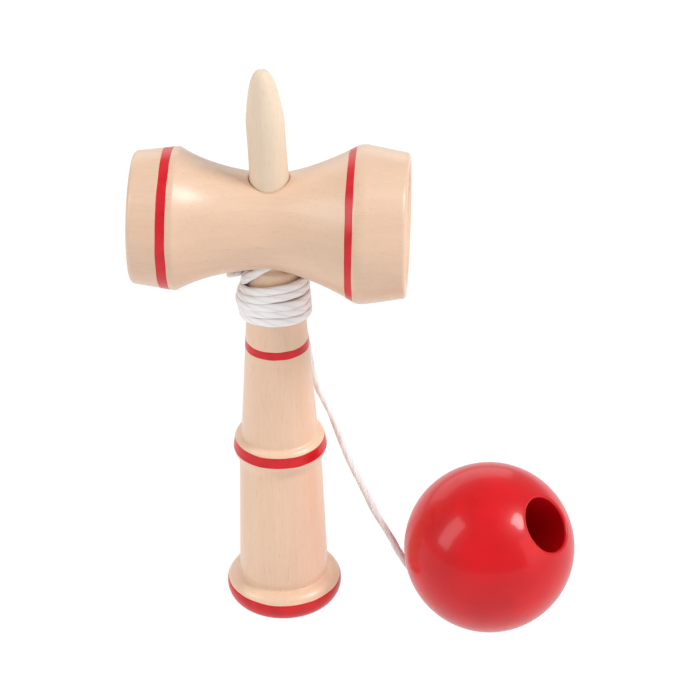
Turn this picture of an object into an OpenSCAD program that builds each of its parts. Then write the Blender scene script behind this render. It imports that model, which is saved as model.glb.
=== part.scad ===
// Cup and ball toy: turned beech handle with a spike, a crosspiece with two cups, a red ball on a string.
// Millimetres, +Z up. Origin at the centre of the handle's foot on the table, +X to the right.

/* [Handle] */
// Radius of the bell-shaped foot where it is fullest
bell_r = 13.6; // [13.2:0.1:15.5]
// Height at which the foot is fullest
bell_z = 3.8; // [3:0.1:3.9]
// Rounding radius of the foot
bell_round = 4.2; // [4:0.1:4.8]
// Radius of the cup's mouth under the foot
foot_cup_r = 10.0; // [8:0.1:10.5]
// Depth of the cup under the foot
foot_cup_depth = 4.5; // [3.2:0.1:6]
// Radius of the grip just above the foot
grip_low_r = 10.5; // [9.5:0.1:11]
// Radius of the grip just below the collar
grip_top_r = 9.6; // [8.8:0.1:10.2]
// Height at which the grip ends below the collar
grip_top_z = 38.8; // [34:0.1:39.5]
// Radius of the collar at its widest
collar_r = 10.9; // [10.4:0.1:12]
// Height of the collar at its widest
collar_z = 42.7; // [42:0.1:44]
// Radius of the neck above the collar
neck_low_r = 8.75; // [8.2:0.05:9.4]
// Height of the foot of the neck
neck_low_z = 49.6; // [48.8:0.1:51]
// Radius of the neck at its top
neck_top_r = 6.0; // [5.9:0.05:6.2]
// Height of the flat top on which the crosspiece sits
seat_z = 95.5; // [95:0.1:96]
// Radius of the rebate at the neck's top that holds the string's end
rebate_r = 5.1; // [5.05:0.05:5.2]
// Depth of the rebate below the flat top
rebate_depth = 2.9; // [2.8:0.1:3.1]

/* [Painted stripes] */
// Height of the lower edge of the stripe on the foot
foot_stripe_z = 0.8; // [0.6:0.1:2]
// Width of the stripe on the foot
foot_stripe_w = 4.4; // [2.5:0.1:4.6]
// Width of the stripe on the collar
collar_stripe_w = 2.9; // [1.5:0.1:3.2]
// Height of the lower edge of the stripe on the neck
neck_stripe_z = 70.1; // [56:0.1:71.5]
// Width of the stripe on the neck
neck_stripe_w = 2.1; // [1:0.1:2.5]
// Place of the outer edge of the left stripe along the crosspiece
left_stripe_x = -24.8; // [-26:0.1:-23.4]
// Width of the left stripe
left_stripe_w = 2.2; // [1.4:0.1:2.4]
// Place of the inner edge of the right stripe along the crosspiece
right_stripe_x = 16.8; // [16.4:0.1:17]
// Width of the right stripe
right_stripe_w = 1.7; // [1:0.1:1.8]
// Depth to which the stripes are let into the wood
stripe_depth = 0.3; // [0.2:0.05:0.4]

/* [Spike] */
// Radius of the spike where it passes through the crosspiece
spike_r = 4.5; // [4.3:0.05:4.8]
// Radius of the spike above the crosspiece
spike_thin_r = 4.3; // [4:0.05:4.3]
// Height of the spike's point above the table
spike_top = 140; // [132:0.5:146]
// Length of the rounded point
spike_point = 12; // [9:0.5:15]
// Depth of the spike's socket below the seat
socket_depth = 25; // [18:0.5:30]
// Lean of the spike towards the left cup, degrees
spike_lean = 2.2; // [0:0.1:2.6]
// Height at which the leaning spike crosses the handle's axis
lean_z = 98; // [96:0.5:100]
// Running clearance between spike and crosspiece
spike_clear = 0.05; // [0.03:0.01:0.08]

/* [Crosspiece] */
// Turn of the crosspiece about the upright, right end to the back
cross_turn = 2.5; // [0:0.1:4]
// Tilt of the crosspiece, right end down
cross_tilt = 1.0; // [0:0.1:1.4]
// Height of the crosspiece's axis
axis_z = 102.4; // [102.3:0.1:103]
// Radius of the waist
waist_r = 10.8; // [10.6:0.1:11]
// Place of the waist along the crosspiece
waist_x = -1.0; // [-1.5:0.1:0]
// Place of the left rim
left_rim_x = -31.5; // [-33:0.1:-29.5]
// Radius of the left rim
left_rim_r = 15.0; // [14.6:0.1:15.6]
// Place of the left shoulder
left_shoulder_x = -21.3; // [-21.6:0.1:-20.6]
// Radius of the left shoulder
left_shoulder_r = 16.2; // [15.7:0.1:16.4]
// Place of the right rim
right_rim_x = 30.3; // [29.8:0.1:33]
// Radius of the right rim
right_rim_r = 16.4; // [15.5:0.1:16.9]
// Place of the right shoulder
right_shoulder_x = 20.0; // [19.4:0.1:21]
// Radius of the right shoulder
right_shoulder_r = 17.9; // [17.2:0.1:18.2]
// Radius of the left cup's mouth
left_cup_r = 13.4; // [12.4:0.1:13.6]
// Depth of the left cup
left_cup_depth = 7.0; // [6.2:0.1:7.6]
// Radius of the right cup's mouth
right_cup_r = 14.1; // [13:0.1:14.3]
// Depth of the right cup
right_cup_depth = 7.5; // [6.6:0.1:8.2]
// Rounding of the outer edge of each rim
rim_round = 1.0; // [0.6:0.1:1.2]
// Clearance round the neck's top in the recess under the crosspiece
recess_clear = 0.85; // [0.8:0.05:0.95]

/* [Ball] */
// Radius of the ball
ball_r = 20; // [19:0.1:21]
// Ball's place along the crosspiece's direction
ball_x = 49.6; // [49:0.1:50.5]
// Ball's place across, negative towards the front
ball_y = -5.8; // [-6.5:0.1:-5]
// Radius of the ball's bore
bore_r = 6.6; // [5.4:0.1:7.2]
// How far the bore's floor lies behind the ball's centre
bore_floor = 9.5; // [8:0.1:10]
// Radius of the pocket for the knot in the bore's floor
pocket_r = 3.0; // [2.7:0.1:4]
// Depth of the pocket for the knot
pocket_depth = 3.7; // [3.6:0.1:4.5]
// Upward tilt of the bore, degrees
bore_tilt = 38; // [36:0.5:40]
// Turn of the bore about the upright, degrees
bore_turn = -24; // [-27:0.5:-21]
// Width of the chamfer round the bore's mouth
mouth_chamfer = 0.3; // [0.2:0.05:0.6]
// Radius of the string hole through the ball's wall
string_hole_r = 1.15; // [1:0.05:1.4]
// Radius of the knot inside the ball
knot_r = 1.7; // [1.5:0.1:1.8]
// Clearance under the knot
knot_clear = 0.3; // [0.2:0.05:0.5]

/* [String] */
// Diameter of the string
string_d = 1.4; // [1.2:0.05:1.4]
// Rise of the winding per turn
wind_pitch = 2.08; // [2.07:0.01:2.12]
// Clearance between the winding and the neck
wind_clear = 0.12; // [0.05:0.01:0.2]
// Mean height of the winding where it leaves the rebate
wind_top = 89.5; // [89.3:0.1:89.6]
// Distance of the string's drop from the handle's axis
drop_r = 8.45; // [8.35:0.05:8.8]
// Height of the pivot from which the loose string swings
pivot_z = 74; // [73.5:0.1:74.5]
// Clearance at the string's two pivots
pivot_clear = 0.05; // [0.03:0.01:0.1]

/* [Hidden] */
$fn = 96;
wood = [0.93, 0.79, 0.65];
pale_wood = [0.88, 0.80, 0.70];
red = [0.80, 0.10, 0.12];
cotton = [0.95, 0.94, 0.92];
// Amount by which cutters pass the faces they cut
over = 2;
string_r = string_d / 2;

// Points of a cubic Bezier curve, without its first point
function bezier(a, b, c, d, n) = [for (i = [1 : n]) let (t = i / n, s = 1 - t)
    s * s * s * a + 3 * s * s * t * b + 3 * s * t * t * c + t * t * t * d];

// Handle profile
bell_c = bell_r - bell_round;
bell_end_z = bell_z + 3.7;
function bell_at(z) = bell_c + sqrt(bell_round * bell_round - (z - bell_z) * (z - bell_z));
bell_steps = 16;
grip_low_z = 9.2;
collar_top_z = collar_z + collar_stripe_w;
collar_top_r = collar_r - 0.5;
neck_foot_z = neck_low_z - 1.4;
neck_power = 1.2;
function neck_at(z) = neck_top_r + (neck_low_r - neck_top_r)
    * pow((seat_z - z) / (seat_z - neck_low_z), neck_power);
neck_steps = 18;
rebate_z = seat_z - rebate_depth;
rebate_slope = 1.0;
neck_end_z = rebate_z - rebate_slope;
handle_outline = concat(
    [[0, 0]],
    [for (i = [0 : bell_steps]) let (z = bell_end_z * i / bell_steps) [bell_at(z), z]],
    bezier([bell_at(bell_end_z), bell_end_z], [bell_at(bell_end_z) - 0.6, bell_end_z + 0.32],
        [grip_low_r, grip_low_z - 0.9], [grip_low_r, grip_low_z], 8),
    [[grip_top_r, grip_top_z]],
    bezier([grip_top_r, grip_top_z], [grip_top_r + 0.05, grip_top_z + 1.8],
        [collar_r - 0.1, collar_z - 1.6], [collar_r, collar_z], 8),
    [[collar_top_r, collar_top_z]],
    bezier([collar_top_r, collar_top_z], [collar_top_r - 0.6, collar_top_z + 1],
        [neck_at(neck_foot_z), neck_foot_z - 1.25], [neck_at(neck_foot_z), neck_foot_z], 8),
    [for (i = [1 : neck_steps])
        let (z = neck_foot_z + (neck_end_z - neck_foot_z) * i / neck_steps) [neck_at(z), z]],
    [[rebate_r, rebate_z], [rebate_r, seat_z], [0, seat_z]]);
// Radius of a shallow cup's sphere from its mouth and depth
function cup_sphere(r, d) = (r * r + d * d) / (2 * d);
foot_cup_sphere = cup_sphere(foot_cup_r, foot_cup_depth);

// Crosspiece profile as [radius, place along the axis]
left_curve = bezier([left_shoulder_r, left_shoulder_x], [left_shoulder_r - 5.1, left_shoulder_x + 8.3],
    [waist_r, waist_x - 0.8], [waist_r, waist_x], 16);
right_turn = [right_shoulder_r - 0.2, right_shoulder_x - 1.1];
right_curve = bezier([waist_r, waist_x], [waist_r, waist_x + 5.5], right_turn - [3.4, 6], right_turn, 16);
left_turn = [left_shoulder_r - 0.1, left_shoulder_x - 0.7];
crosspiece_outline = concat(
    [[0, left_rim_x], [left_rim_r - rim_round, left_rim_x]],
    bezier([left_rim_r - rim_round, left_rim_x], [left_rim_r - rim_round * 0.4, left_rim_x],
        [left_rim_r, left_rim_x + rim_round * 0.6], [left_rim_r, left_rim_x + rim_round], 5),
    [left_turn],
    bezier(left_turn, [left_shoulder_r, left_shoulder_x - 0.3], [left_shoulder_r, left_shoulder_x - 0.1],
        [left_shoulder_r, left_shoulder_x], 3),
    left_curve,
    right_curve,
    bezier(right_turn, [right_shoulder_r, right_shoulder_x - 0.7], [right_shoulder_r, right_shoulder_x],
        [right_shoulder_r - 0.05, right_shoulder_x + 1], 5),
    [[right_rim_r, right_rim_x - rim_round]],
    bezier([right_rim_r, right_rim_x - rim_round], [right_rim_r, right_rim_x - rim_round * 0.4],
        [right_rim_r - rim_round * 0.4, right_rim_x], [right_rim_r - rim_round, right_rim_x], 5),
    [[0, right_rim_x]]);
left_sphere = cup_sphere(left_cup_r, left_cup_depth);
right_sphere = cup_sphere(right_cup_r, right_cup_depth);
recess_r = neck_top_r + recess_clear;

// Spike
socket_floor = seat_z - socket_depth;
point_steps = 14;
point_power = 0.31;
spike_above = (spike_top - lean_z) / cos(spike_lean);
spike_below = (lean_z - socket_floor) / cos(spike_lean);
// Heights above the crossing point between which the spike thins
thin_from = 12.5;
thin_to = 20.5;

// Ball
ball_c = [ball_x, ball_y, ball_r];
bore_axis = [cos(bore_tilt) * cos(bore_turn), cos(bore_tilt) * sin(bore_turn), sin(bore_tilt)];
mouth_a = sqrt(ball_r * ball_r - bore_r * bore_r);
knot_flat = 0.76 * knot_r;
pocket_floor = bore_floor + pocket_depth;
string_end_a = knot_clear - pocket_floor;

// Winding on the neck: from the tail at the left round the back into the rebate, out of it at the front
// left, then six turns down to the drop at the back right. Angles in degrees fall along the string.
wind_from = 170;
wind_to = 82 - 6 * 360;
rings_per_turn = 24;
wind_rings = round((wind_from - wind_to) / 360 * rings_per_turn);
function ease(x) = let (t = max(0, min(1, x))) t * t * (3 - 2 * t);
// Way into the rebate at the back and out of it at the front, as first angle and span
in_from = 166;
in_span = 100;
out_from = -70;
out_span = 108;
seam_z = seat_z - 1.15;
seam_clear = 0.1;
seam_r = rebate_r + string_r + seam_clear;
// Height at which the string comes round the left side from its tail
tail_z = 90.1;
// Lean of the turns from right to left, its loss per turn, their lean to the front and their saddle
lean_right = 1.2;
lean_loss = 0.23;
lean_front = 0.53;
saddle = 0.35;
turns_from = -95;
function turn_z(a) = let (t = (turns_from - a) / 360)
    wind_top - wind_pitch * t + (lean_right - lean_loss * t) * cos(a)
    - lean_front * sin(a) - saddle * cos(2 * a);
function wind_z(a) = a > out_from
    ? tail_z + (seam_z - tail_z) * ease((in_from - a) / in_span)
    : seam_z + (turn_z(a) - seam_z) * ease((out_from - a) / out_span);
// Share of the way from the neck's outside into the rebate, with its own first angles and spans
sink_from = 132;
sink_span = 50;
rise_from = -87;
rise_span = 43;
function seam(a) = a > 0 ? ease((sink_from - a) / sink_span) : 1 - ease((rise_from - a) / rise_span);
// Bulge of the middle turns at the left, where they ride on each other
bulge = 0.9;
bulge_turn = 2.4;
bulge_width = 1.6;
function bulge_at(a) = let (b = ((turns_from - a) / 360 - bulge_turn) / bulge_width, c = (1 - cos(a)) / 2)
    bulge * exp(-b * b) * c * c;
function wind_r(a) = let (z = wind_z(a), out = neck_at(z) + string_r + wind_clear + bulge_at(a))
    out + (seam_r - out) * seam(a);
function wind_point(a) = [wind_r(a) * cos(a), wind_r(a) * sin(a), wind_z(a)];
function unit(v) = v / norm(v);
wind_start = wind_point(wind_from);
start_dir = unit(wind_point(wind_from - 1) - wind_start);
wind_last = wind_point(wind_to);
last_dir = unit(wind_last - wind_point(wind_to + 1));
drop_angle = 54;
drop_xy = [drop_r * cos(drop_angle), drop_r * sin(drop_angle)];
lead_len = 1.1;
wind_end = [drop_xy[0], drop_xy[1], pivot_z + lead_len];
straight = [0, 0, string_d];
winding_path = concat(
    [wind_start - string_d * start_dir, wind_start - 0.5 * string_d * start_dir],
    [for (i = [0 : wind_rings]) wind_point(wind_from + (wind_to - wind_from) * i / wind_rings)],
    bezier(wind_last, wind_last + 1.8 * last_dir,
        wind_end + 1.6 * straight + [0, 0, 0.6], wind_end + straight, 10),
    [wind_end + 0.5 * straight, wind_end]);
// Least distance between parts of the winding that are at least half a turn apart, less one diameter
half_turn = rings_per_turn / 2;
wind_gaps = [for (i = [0 : len(winding_path) - 1]) for (j = [i + half_turn : 1 : len(winding_path) - 1])
    norm(winding_path[i] - winding_path[j])];
echo(winding_gap = min(wind_gaps) - string_d);
// Length of a path
function path_len(p, i = 1) = i >= len(p) ? 0 : norm(p[i] - p[i - 1]) + path_len(p, i + 1);
echo(winding_length = path_len(winding_path));

// Loose tail of the string at the front left of the neck
tail_gap = 0.02;
tail_start = winding_path[0] - tail_gap * start_dir;
tail_bend = tail_start - string_d * start_dir;
tail_path = concat(
    [tail_start, tail_start - 0.5 * string_d * start_dir, tail_bend],
    bezier(tail_bend, tail_bend - 1.2 * start_dir, [-8.8, -3.1, 90.1], [-11, -3.2, 89.8], 10));
echo(tail_length = path_len(tail_path));

// Loose run of the string from the drop to the ball
pivot = [drop_xy[0], drop_xy[1], pivot_z];
function on_axis(a) = ball_c + a * bore_axis;
run_path = concat(
    [pivot + [0.12, 0, -string_r - 2 * pivot_clear]],
    [[5.3, 6.8, 71.5], [5.8, 6.75, 68], [6.4, 6.7, 64], [7.3, 6.6, 58.6], [8.9, 6.2, 53.5],
    [10.8, 5.9, 49.3], [12.4, 5.5, 45.2], [14.5, 4.9, 38.9], [16.5, 4.5, 33.8], [18, 4.2, 30.4],
    [19.9, 3.8, 26.2], [21.8, 3.4, 22], [24, 3.1, 18], [25.9, 2.8, 14.5], [27.5, 2.5, 11.3],
    [28.5, 2.4, 9.5], [29.3, 2.4, 8.1], [30.2, 2.3, 6.9], [31.4, 2.1, 5.9]],
    [on_axis(-ball_r - 3.4), on_axis(-ball_r - 2.3), on_axis(-ball_r - 1), on_axis(-ball_r + 3),
    on_axis(string_end_a)]);
echo(run_length = path_len(run_path));

// One tube of triangles along a path; towards gives each ring's first corner a steady direction
module tube(path, r, sides, towards) {
    n = len(path);
    points = [for (i = [0 : n - 1])
        let (t = unit(path[min(i + 1, n - 1)] - path[max(i - 1, 0)]),
            u = unit(towards[i] - (towards[i] * t) * t),
            v = cross(t, u))
        for (k = [0 : sides - 1]) let (a = 360 * k / sides) path[i] + r * (cos(a) * u + sin(a) * v)];
    walls = [for (i = [0 : n - 2]) for (k = [0 : sides - 1])
        let (a = i * sides + k, b = i * sides + (k + 1) % sides, c = a + sides, d = b + sides)
        for (f = [[a, c, b], [b, c, d]]) f];
    first_cap = [for (k = [1 : sides - 2]) [0, k, k + 1]];
    last = (n - 1) * sides;
    last_cap = [for (k = [1 : sides - 2]) [last, last + k + 1, last + k]];
    polyhedron(points, concat(walls, first_cap, last_cap), convexity = 10);
}

// A turned ring let into the wood between two places on a straight or curved outline
module band(outer) {
    n = len(outer);
    inner = [for (i = [n - 1 : -1 : 0]) outer[i] - [stripe_depth, 0]];
    rotate_extrude() polygon(concat(outer, inner));
}
function grown(outer) = [for (p = outer) p + [over, 0]];
foot_band = [for (i = [0 : 8]) let (z = foot_stripe_z + foot_stripe_w * i / 8) [bell_at(z), z]];
collar_band = [[collar_r, collar_z], [collar_top_r, collar_top_z]];
neck_band = [for (i = [0 : 2]) let (z = neck_stripe_z + neck_stripe_w * i / 2) [neck_at(z), z]];
// Radius on the straight flank between the left rim and the left shoulder
function left_flank(x) = left_rim_r + (left_turn[0] - left_rim_r)
    * (x - left_rim_x - rim_round) / (left_turn[1] - left_rim_x - rim_round);
left_band = [for (i = [0 : 1]) let (x = left_stripe_x + left_stripe_w * i) [left_flank(x), x]];
// Radius on the steep flank inside the right shoulder, between neighbouring points of the outline
function along(p, x, i = 1) = p[i][1] >= x || i == len(p) - 1
    ? p[i - 1][0] + (p[i][0] - p[i - 1][0]) * (x - p[i - 1][1]) / (p[i][1] - p[i - 1][1])
    : along(p, x, i + 1);
right_band = [for (i = [0 : 6]) let (x = right_stripe_x + right_stripe_w * i / 6) [along(right_curve, x), x]];

// Groove cutter that a band fills
module groove(outer) {
    n = len(outer);
    inner = [for (i = [n - 1 : -1 : 0]) outer[i] - [stripe_depth, 0]];
    rotate_extrude() polygon(concat(grown(outer), inner));
}

// Frame of the leaning spike, with its origin where the spike crosses the handle's axis
module lean() {
    translate([0, 0, lean_z]) rotate([0, -spike_lean, 0]) children();
}

// Frame of the crosspiece, with its axis upright
module across() {
    translate([0, 0, axis_z]) rotate([0, 90 + cross_tilt, cross_turn]) children();
}

// Frame of the ball, with its bore upright
module at_ball() {
    translate(ball_c) rotate([0, 90 - bore_tilt, bore_turn]) children();
}

module handle() {
    color(wood) difference() {
        rotate_extrude() polygon(handle_outline);
        translate([0, 0, foot_cup_depth - foot_cup_sphere]) sphere(r = foot_cup_sphere);
        lean() translate([0, 0, -spike_below]) cylinder(r = spike_r, h = spike_below + spike_above);
        groove(foot_band);
        groove(collar_band);
        groove(neck_band);
    }
}

module spike() {
    color(pale_wood) lean() rotate_extrude() polygon(concat(
        [[0, -spike_below], [spike_r, -spike_below], [spike_r, thin_from], [spike_thin_r, thin_to]],
        [for (i = [point_steps : -1 : 1]) let (h = spike_point * pow(i / point_steps, 2))
            [spike_thin_r * pow(h / spike_point, point_power), spike_above - h]],
        [[0, spike_above]]));
}

module crosspiece() {
    color(wood) difference() {
        across() rotate_extrude() polygon(crosspiece_outline);
        across() translate([0, 0, left_rim_x + left_cup_depth - left_sphere]) sphere(r = left_sphere);
        across() translate([0, 0, right_rim_x - right_cup_depth + right_sphere]) sphere(r = right_sphere);
        lean() cylinder(r = spike_r + spike_clear, h = 3 * waist_r, center = true);
        translate([0, 0, seat_z - 2 * waist_r]) cylinder(r = recess_r, h = 2 * waist_r);
        across() groove(left_band);
        across() groove(right_band);
    }
}

module neck_stripe() {
    color(red) band(neck_band);
}

module collar_stripe() {
    color(red) band(collar_band);
}

module foot_stripe() {
    color(red) band(foot_band);
}

module left_stripe() {
    color(red) across() band(left_band);
}

module right_stripe() {
    color(red) across() band(right_band);
}

module ball() {
    color(red) at_ball() difference() {
        sphere(r = ball_r);
        translate([0, 0, -bore_floor]) cylinder(r = bore_r, h = bore_floor + ball_r + over);
        translate([0, 0, -pocket_floor]) cylinder(r = pocket_r, h = pocket_floor);
        translate([0, 0, -ball_r - over]) cylinder(r = string_hole_r, h = ball_r + over);
        translate([0, 0, mouth_a - mouth_chamfer])
            cylinder(r1 = bore_r, r2 = bore_r + 2 * mouth_chamfer, h = 2 * mouth_chamfer);
    }
}

module ball_knot() {
    color(cotton) at_ball() translate([0, 0, string_end_a]) intersection() {
        translate([0, 0, knot_flat]) sphere(r = knot_r);
        cylinder(r = knot_r + over, h = 2 * knot_r + over);
    }
}

module string_tail() {
    color(cotton) tube(tail_path, string_r, 8, [for (p = tail_path) [p[0], p[1], 0]]);
}

module string_winding() {
    color(cotton) tube(winding_path, string_r, 6, [for (p = winding_path) [p[0], p[1], 0]]);
}

module string_lead() {
    color(cotton) translate(pivot) {
        sphere(r = string_r);
        cylinder(r = string_r, h = lead_len - pivot_clear);
    }
}

module string_run() {
    color(cotton) tube(run_path, string_r, 8, [for (p = run_path) [0.3, 0.95, 0.1]]);
}

handle();
spike();
crosspiece();
neck_stripe();
collar_stripe();
foot_stripe();
left_stripe();
right_stripe();
ball();
ball_knot();
string_tail();
string_winding();
string_lead();
string_run();
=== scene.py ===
"""Cup and ball toy: turned beech handle and crosspiece, leaning spike, red ball and cotton string.

Every shape is a surface over a grid of two parameters, worked out in millimetres and put into the mesh in
metres, in the same frame as the solids: origin under the handle's foot, +Z up, +X to the right.
"""
import math

import bmesh
import bpy
import numpy as np
from bpy.props import FloatProperty, FloatVectorProperty, IntProperty, PointerProperty
from mathutils import Matrix, Vector


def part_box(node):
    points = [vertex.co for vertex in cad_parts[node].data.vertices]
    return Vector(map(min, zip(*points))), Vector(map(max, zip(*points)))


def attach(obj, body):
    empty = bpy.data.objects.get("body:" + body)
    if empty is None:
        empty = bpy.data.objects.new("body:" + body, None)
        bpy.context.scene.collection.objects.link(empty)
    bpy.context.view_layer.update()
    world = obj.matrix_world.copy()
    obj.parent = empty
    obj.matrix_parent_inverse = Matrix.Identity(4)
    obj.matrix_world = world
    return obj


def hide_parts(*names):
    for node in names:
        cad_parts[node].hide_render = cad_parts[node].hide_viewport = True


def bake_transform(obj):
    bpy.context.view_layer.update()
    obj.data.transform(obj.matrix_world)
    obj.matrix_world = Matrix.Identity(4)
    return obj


bl_info = {
    "name": "Cup and Ball Toy",
    "version": (1, 0, 0),
    "blender": (4, 5, 0),
    "location": "View3D > Sidebar > Cup and Ball",
    "description": "Builds a turned beech cup and ball toy with its wound cotton string",
    "category": "Add Mesh",
}

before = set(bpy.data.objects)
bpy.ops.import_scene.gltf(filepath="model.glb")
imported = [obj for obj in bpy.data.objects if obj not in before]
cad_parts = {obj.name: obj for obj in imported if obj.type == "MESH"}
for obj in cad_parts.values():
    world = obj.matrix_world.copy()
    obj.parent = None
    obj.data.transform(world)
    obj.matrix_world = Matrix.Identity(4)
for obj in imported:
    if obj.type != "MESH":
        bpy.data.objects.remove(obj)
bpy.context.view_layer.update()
MM = 0.001
TAU = 2 * math.pi


def linear(code):
    """Linear colour of an sRGB hex value: c / 12.92 up to 0.04045, and above it ((c + 0.055) / 1.055)
    to the power 2.4."""
    c = np.array([int(code[i:i + 2], 16) for i in (1, 3, 5)]) / 255
    return tuple(np.where(c <= 0.04045, c / 12.92, ((c + 0.055) / 1.055) ** 2.4))


BALL_LOW, BALL_HIGH = (np.array(v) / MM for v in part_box("ball"))
SPIKE_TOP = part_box("spike")[1].z / MM

# Sizes in millimetres, the solids' own; the creases above the foot and collar are cut a little sharper
BELL_R, BELL_Z, BELL_ROUND, BELL_END = 13.6, 3.8, 4.2, 5.2
FOOT_CUP_R, FOOT_CUP_DEPTH = 10.0, 4.5
FOOT_COVE = (12.93, 6.43), (11.7, 7.15), (10.55, 7.15)
FOOT_CREASE = (10.34, 7.25), (10.3, 7.4), (10.4, 7.9)
GRIP_LOW, GRIP_TOP = (10.5, 8.9), (9.6, 38.8)
COLLAR, COLLAR_TOP = (10.9, 42.7), (10.4, 45.6)
COLLAR_COVE = (10.0, 46.1), (9.5, 46.4), (9.05, 46.45)
COLLAR_CREASE = (8.86, 46.55), (8.85, 46.7)
NECK_LOW, NECK_TOP, NECK_POWER = (8.75, 49.6), (6.0, 95.5), 1.2
NECK_FOOT, NECK_END, REBATE = 47.0, 91.6, (5.1, 92.6)
SPIKE_R, SPIKE_THIN_R, SPIKE_POINT, SPIKE_POWER = 4.5, 4.3, 12.0, 0.31
SPIKE_THINS = (12.5, 20.5)
SOCKET_Z, LEAN, LEAN_Z, SPIKE_CLEAR = 70.5, math.radians(2.2), 98.0, 0.05
AXIS_Z, WAIST, CROSS_TURN, CROSS_TILT = 102.4, (10.8, -1.0), math.radians(2.5), math.radians(1)
LEFT_RIM, LEFT_SHOULDER, LEFT_CUP = (15.0, -31.5), (16.2, -21.3), (13.4, 7.0)
RIGHT_RIM, RIGHT_SHOULDER, RIGHT_CUP = (16.4, 30.3), (17.9, 20.0), (14.1, 7.5)
RIM_ROUND, RECESS_R = 1.0, 6.85
BALL_C, BALL_R = (BALL_LOW + BALL_HIGH) / 2, (BALL_HIGH - BALL_LOW)[2] / 2
BORE_R, BORE_FLOOR, POCKET_R, POCKET_FLOOR, STRING_HOLE_R = 6.6, 9.5, 3.0, 13.2, 1.15
BORE_TILT, BORE_TURN, MOUTH_CHAMFER = math.radians(38), math.radians(-24), 0.3
STRING_R, STRING_END, STRING_STEP = 0.7, -12.9, 0.3
PIVOT, LEAD, BLEND_LENGTH = np.array([4.967, 6.836, 74.0]), 1.1, 3.0
TAIL_END, TAIL_BEND, TAIL_Z = (-10.6, -3.2, 89.8), (-8.8, -3.1, 90.1), 90.1
TURNS, TURNS_TOP, TURN_FALL = 6, 89.25, 1.89
LOOSE_ROUTE = (
    (5.3, 6.8, 71.5), (5.8, 6.75, 68), (6.4, 6.7, 64), (7.3, 6.6, 58.6), (8.9, 6.2, 53.5),
    (10.8, 5.9, 49.3), (12.4, 5.5, 45.2), (14.5, 4.9, 38.9), (16.5, 4.5, 33.8), (18, 4.2, 30.4),
    (19.9, 3.8, 26.2), (21.8, 3.4, 22), (24, 3.1, 18), (25.9, 2.8, 14.5), (27.5, 2.5, 11.3),
    (28.5, 2.4, 9.5), (29.3, 2.4, 8.1), (30.2, 2.3, 6.9), (31.4, 2.1, 5.9))
KNOT_SIZE, KNOT_R = 0.385, 0.54
# Shares by which pressed turns are wider and loose string is thicker than the cord
PRESSED_WIDE, LOOSE_SWELL = 0.44, 0.18
# Radius at which a turned outline that ends on its axis stops, to be closed by a fan
POLE_R = 0.05
# How far worked edges are eased, and how deep a stripe's underside lies in the wood
EDGE_EASE, BALL_EASE, STRIPE_UNDER = 0.2, 0.16, 0.25
# Lip round each opening of the crosspiece, and half the length and the rows of the patch that carries it
LIP_ROUND, LIP_DROP, PATCH_REACH, PATCH_ROWS = 0.2, 0.3, 8.4, 9
# Each stripe's piece, node, body, the two places between which it lies along its wood, and its edges' seed
STRIPES = (
    ("painted_foot_stripe", "foot_stripe", "ken", 0.8, 5.2, 3),
    ("painted_collar_stripe", "collar_stripe", "ken", 42.7, 45.3, 5),
    ("painted_neck_stripe", "neck_stripe", "ken", 70.1, 72.2, 7),
    ("painted_left_stripe", "left_stripe", "cross", -24.8, -22.6, 11),
    ("painted_right_stripe", "right_stripe", "cross", 16.8, 18.5, 13))


class ToyShape(bpy.types.PropertyGroup):
    """Sizes of the visible detail."""
    round_steps: IntProperty(name="Steps round a turning", description="Faces round each turned piece",
                             default=144, min=48, max=256)
    row_step: FloatProperty(name="Row step", description="Distance between rows along a turned outline",
                            default=0.4 * MM, min=0.2 * MM, max=2 * MM, unit="LENGTH", precision=5)
    edge_wander: FloatProperty(name="Stripe wander",
                               description="How far a painted edge strays from a true ring",
                               default=0.09 * MM, min=0, max=0.4 * MM, unit="LENGTH", precision=5)
    paint: FloatProperty(name="Paint build", description="Height of the stripes' paint above the wood",
                         default=0.04 * MM, min=0.01 * MM, max=0.2 * MM, unit="LENGTH", precision=5)
    whittle: FloatProperty(name="Whittling", description="Depth of the knife flats on the spike",
                           default=0.1 * MM, min=0, max=0.4 * MM, unit="LENGTH", precision=5)
    string_d: FloatProperty(name="String", description="Diameter of the loose string",
                            default=2 * STRING_R * MM, min=MM, max=2 * MM, unit="LENGTH", precision=5)
    plies: IntProperty(name="Plies", description="Yarns laid together in the string", default=3, min=2, max=4)
    lay: FloatProperty(name="Lay length", description="Length of string in which a yarn goes once round",
                       default=14 * MM, min=4 * MM, max=20 * MM, unit="LENGTH", precision=5)


class ToyColours(bpy.types.PropertyGroup):
    """Colours of the finishes."""
    beech: FloatVectorProperty(name="Beech", description="Body colour of the lacquered beech",
                               subtype="COLOR", size=3, min=0, max=1, default=linear("#E9C6AA"))
    beech_ray: FloatVectorProperty(name="Beech rays", description="Flecks and late wood in the beech",
                                   subtype="COLOR", size=3, min=0, max=1, default=linear("#D6AC8C"))
    spike_wood: FloatVectorProperty(name="Spike", description="Body colour of the bare spike",
                                    subtype="COLOR", size=3, min=0, max=1, default=linear("#E7D2BA"))
    stripe: FloatVectorProperty(name="Stripes", description="Red of the painted stripes", subtype="COLOR",
                                size=3, min=0, max=1, default=linear("#D0141F"))
    ball: FloatVectorProperty(name="Ball", description="Red of the dipped ball", subtype="COLOR",
                              size=3, min=0, max=1, default=linear("#CE0713"))
    cotton: FloatVectorProperty(name="Cotton", description="White of the string", subtype="COLOR",
                                size=3, min=0, max=1, default=linear("#FBF8F8"))


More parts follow.
